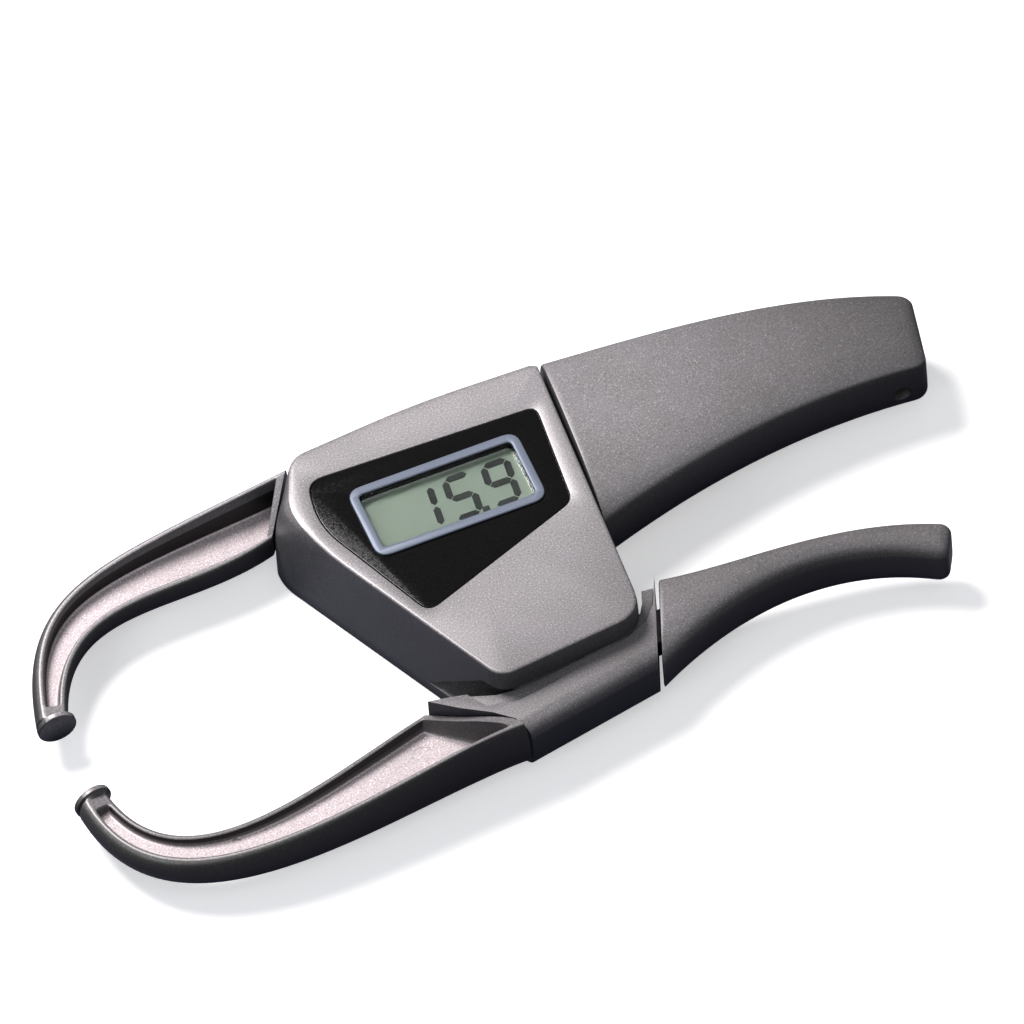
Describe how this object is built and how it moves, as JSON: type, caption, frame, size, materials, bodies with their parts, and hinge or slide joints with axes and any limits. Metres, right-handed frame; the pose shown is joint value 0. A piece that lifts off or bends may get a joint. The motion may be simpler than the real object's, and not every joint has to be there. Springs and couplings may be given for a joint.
{
  "type": "skinfold caliper",
  "caption": "Hand-held digital skinfold caliper: two curved levers on one hinge, with channel jaws, round pads, squeeze grips and a display.",
  "frame": {"origin": "hinge axis where it meets the rear rest face", "axes": "+X from the hinge to the grips, +Y to the display lever's far edge, +Z out of the display face"},
  "size_m": [0.1693, 0.0736, 0.0203],
  "materials": {
    "grey_shell": "satin grey plastic with fine metal flake",
    "dark_shell": "satin dark grey plastic",
    "black_gloss": "polished black panel",
    "frame_grey": "satin blue-grey paint",
    "clear": "clear window",
    "cell_grey": "grey-green reflective display",
    "black_matte": "plain black",
    "soft_rubber": "soft striped connector rubber",
    "board_green": "green glass-fibre board",
    "steel": "plain bright steel",
    "gold_contact": "sprung contact strip",
    "bronze": "plain bearing metal",
    "white_plastic": "natural white plastic"
  },
  "bodies": {
    "housing": {"front_shell": "grey_shell", "rear_cover": "grey_shell", "display_panel": "black_gloss", "display_frame": "frame_grey", "display_lens": "clear", "display_cell": "cell_grey", "display_digits": "black_matte", "display_holder": "black_matte", "contact_strips": "soft_rubber", "circuit_board": "board_green", "board_chips": "black_matte", "board_screws": "steel", "switch_body": "black_matte", "battery": "steel", "battery_clip": "gold_contact", "battery_spring": "gold_contact", "upper_jaw": "grey_shell", "upper_grip": "grey_shell", "upper_grip_back": "dark_shell", "hinge_pin": "steel", "thrust_washer": "white_plastic", "return_spring": "steel", "case_screws": "steel", "upper_lever_screws": "steel"},
    "lower_lever": {"hub_bush": "bronze", "arm_frame": "grey_shell", "arm_cover": "grey_shell", "lower_jaw": "grey_shell", "lower_grip": "grey_shell", "lower_grip_back": "dark_shell", "sensor_wiper": "gold_contact", "lower_lever_screws": "steel"},
    "button": {"power_button": "black_matte", "switch_plunger": "white_plastic"},
    "coin_cap": {"battery_cap": "dark_shell"}
  },
  "joints": [
    {"name": "jaw_hinge", "type": "hinge", "parent": "housing", "child": "lower_lever", "pos_m": [0, 0, 0], "axis": [0, 0, 1], "range_deg": [-10.8, 23.7], "stiffness_Nm_per_rad": 0.25, "springref_deg": -40.11, "deforming": ["return_spring"]},
    {"name": "button_press", "type": "slide", "parent": "housing", "child": "button", "axis": [0, -1, 0], "range_m": [0, 0.0008], "stiffness_N_per_m": 1500, "springref_m": -0.0003},
    {"name": "battery_cap_turn", "type": "hinge", "parent": "housing", "child": "coin_cap", "pos_m": [-0.0095, 0.02, 0], "axis": [0, 0, 1], "range_deg": [0, 30]}
  ]
}
